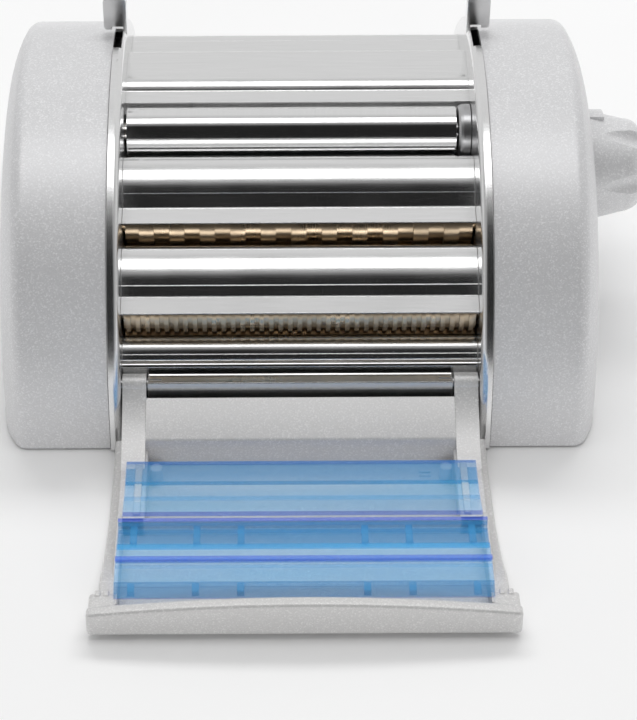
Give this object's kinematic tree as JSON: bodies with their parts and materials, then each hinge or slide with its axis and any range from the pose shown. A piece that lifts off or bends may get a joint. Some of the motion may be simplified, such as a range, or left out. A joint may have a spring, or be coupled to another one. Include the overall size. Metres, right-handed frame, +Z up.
{
  "type": "pasta roller machine",
  "caption": "Motor-driven pasta machine with a smooth roller pair, wide and fine cutter pairs, arched side housings, a thickness knob and an open front lid.",
  "frame": {"origin": "centre of the base on the table, under the middle of the arched housings", "axes": "+X across the machine to the knob side, +Y to the back (feed side), +Z up"},
  "size_m": [0.2863, 0.3545, 0.1338],
  "materials": {
    "casing": "satin silver paint",
    "plate": "polished steel",
    "sheet": "polished steel sheet",
    "clear_guide": "clear blue plastic",
    "smooth_roller": "ground and polished",
    "cutter": "turned bronze",
    "lid": "satin silver paint",
    "knob": "satin silver paint",
    "rubber": "matte",
    "black_plastic": "matte",
    "pale_plastic": "matte",
    "bush": "sintered bronze",
    "dark_metal": "matte black",
    "nylon_gear": "natural nylon",
    "steel": "bright steel"
  },
  "bodies": {
    "frame": {"left_side_plate": "plate", "right_side_plate": "plate", "left_casing": "casing", "right_casing": "casing", "base_pan": "dark_metal", "rubber_feet": "rubber", "tie_rods": "steel", "tie_rod_nuts": "steel", "front_crossbar": "sheet", "top_cover": "sheet", "rear_cover": "sheet", "upper_guide": "sheet", "middle_guide": "sheet", "lower_guide": "sheet", "wide_comb": "pale_plastic", "fine_comb": "pale_plastic", "left_bushes": "bush", "right_bushes": "bush", "carriage_pins": "steel", "idler_studs": "steel", "gear_studs": "steel", "bridge_posts": "steel", "gear_bridge": "dark_metal", "motor_can": "dark_metal", "motor_screws": "steel", "casing_screws": "steel", "lid_hinge_pins": "steel", "switch_bezel": "black_plastic", "cord_inlet": "rubber"},
    "upper_smooth": {"upper_smooth_roller": "smooth_roller", "roller_end_disc": "steel", "smooth_drive_gear": "nylon_gear", "upper_smooth_gear": "steel"},
    "lower_smooth": {"lower_smooth_roller": "smooth_roller", "lower_smooth_gear": "steel"},
    "upper_wide": {"upper_wide_cutter": "cutter", "wide_drive_gear": "nylon_gear", "upper_wide_gear": "steel"},
    "lower_wide": {"lower_wide_cutter": "cutter", "lower_wide_gear": "steel"},
    "upper_fine": {"upper_fine_cutter": "cutter", "fine_drive_gear": "nylon_gear", "upper_fine_gear": "steel"},
    "lower_fine": {"lower_fine_cutter": "cutter", "lower_fine_gear": "steel"},
    "rear_idler": {"rear_idler": "nylon_gear"},
    "front_idler": {"front_idler": "nylon_gear"},
    "second_reduction": {"second_reduction_gear": "nylon_gear"},
    "first_reduction": {"first_reduction_gear": "nylon_gear"},
    "rotor": {"motor_rotor": "steel"},
    "carriage": {"left_bearing_block": "pale_plastic", "right_bearing_block": "pale_plastic"},
    "knob": {"knob_spindle": "steel", "thickness_knob": "knob"},
    "rocker": {"switch_rocker": "black_plastic"},
    "lid": {"lid_shell": "lid", "tray_guide": "clear_guide", "wide_guide": "clear_guide", "fine_guide": "clear_guide"}
  },
  "joints": [
    {"name": "smooth_roller_spin", "type": "hinge", "parent": "frame", "child": "upper_smooth", "pos_m": [0, -0.01243, 0.09043], "axis": [1, 0, 0], "continuous": true},
    {"name": "thickness_knob_turn", "type": "hinge", "parent": "frame", "child": "knob", "pos_m": [0.14, 0.00517, 0.06053], "axis": [1, 0, 0], "range_deg": [0, 150]},
    {"name": "roller_gap_slide", "type": "slide", "parent": "frame", "child": "carriage", "axis": [0, 0.1736, -0.9848], "range_m": [0, 0.0022]},
    {"name": "lower_smooth_spin", "type": "hinge", "parent": "carriage", "child": "lower_smooth", "pos_m": [0, -0.00873, 0.06945], "axis": [1, 0, 0], "continuous": true},
    {"name": "upper_wide_spin", "type": "hinge", "parent": "frame", "child": "upper_wide", "pos_m": [0, -0.05007, 0.06832], "axis": [1, 0, 0], "continuous": true},
    {"name": "lower_wide_spin", "type": "hinge", "parent": "frame", "child": "lower_wide", "pos_m": [0, -0.04694, 0.05059], "axis": [1, 0, 0], "continuous": true},
    {"name": "upper_fine_spin", "type": "hinge", "parent": "frame", "child": "upper_fine", "pos_m": [0, -0.08425, 0.04729], "axis": [1, 0, 0], "continuous": true},
    {"name": "lower_fine_spin", "type": "hinge", "parent": "frame", "child": "lower_fine", "pos_m": [0, -0.08112, 0.02956], "axis": [1, 0, 0], "continuous": true},
    {"name": "rear_idler_spin", "type": "hinge", "parent": "frame", "child": "rear_idler", "pos_m": [0, -0.0363, 0.08798], "axis": [1, 0, 0], "continuous": true},
    {"name": "front_idler_spin", "type": "hinge", "parent": "frame", "child": "front_idler", "pos_m": [0, -0.07406, 0.06902], "axis": [1, 0, 0], "continuous": true},
    {"name": "second_reduction_spin", "type": "hinge", "parent": "frame", "child": "second_reduction", "pos_m": [0, 0.00727, 0.08695], "axis": [1, 0, 0], "continuous": true},
    {"name": "first_reduction_spin", "type": "hinge", "parent": "frame", "child": "first_reduction", "pos_m": [0, 0.03325, 0.07195], "axis": [1, 0, 0], "continuous": true},
    {"name": "motor_spin", "type": "hinge", "parent": "frame", "child": "rotor", "pos_m": [0, 0.03199, 0.03597], "axis": [1, 0, 0], "continuous": true},
    {"name": "power_switch_rock", "type": "hinge", "parent": "frame", "child": "rocker", "pos_m": [-0.12655, 0.038, 0.04], "axis": [0, -1, 0], "range_deg": [0, 16]},
    {"name": "lid_hinge", "type": "hinge", "parent": "frame", "child": "lid", "pos_m": [0, -0.109, 0.027], "axis": [-1, 0, 0], "range_deg": [0, 132.5]}
  ],
  "couplings": [
    {"joint": "lower_smooth_spin", "follows": "smooth_roller_spin", "ratio": -1},
    {"joint": "rear_idler_spin", "follows": "smooth_roller_spin", "ratio": -1},
    {"joint": "upper_wide_spin", "follows": "smooth_roller_spin", "ratio": 1},
    {"joint": "lower_wide_spin", "follows": "smooth_roller_spin", "ratio": -1},
    {"joint": "front_idler_spin", "follows": "smooth_roller_spin", "ratio": -1},
    {"joint": "upper_fine_spin", "follows": "smooth_roller_spin", "ratio": 1},
    {"joint": "lower_fine_spin", "follows": "smooth_roller_spin", "ratio": -1},
    {"joint": "second_reduction_spin", "follows": "smooth_roller_spin", "ratio": -1.5},
    {"joint": "first_reduction_spin", "follows": "smooth_roller_spin", "ratio": 6},
    {"joint": "motor_spin", "follows": "smooth_roller_spin", "ratio": -30},
    {"joint": "roller_gap_slide", "follows": "thickness_knob_turn", "m_per_rad": 0.00084034}
  ]
}
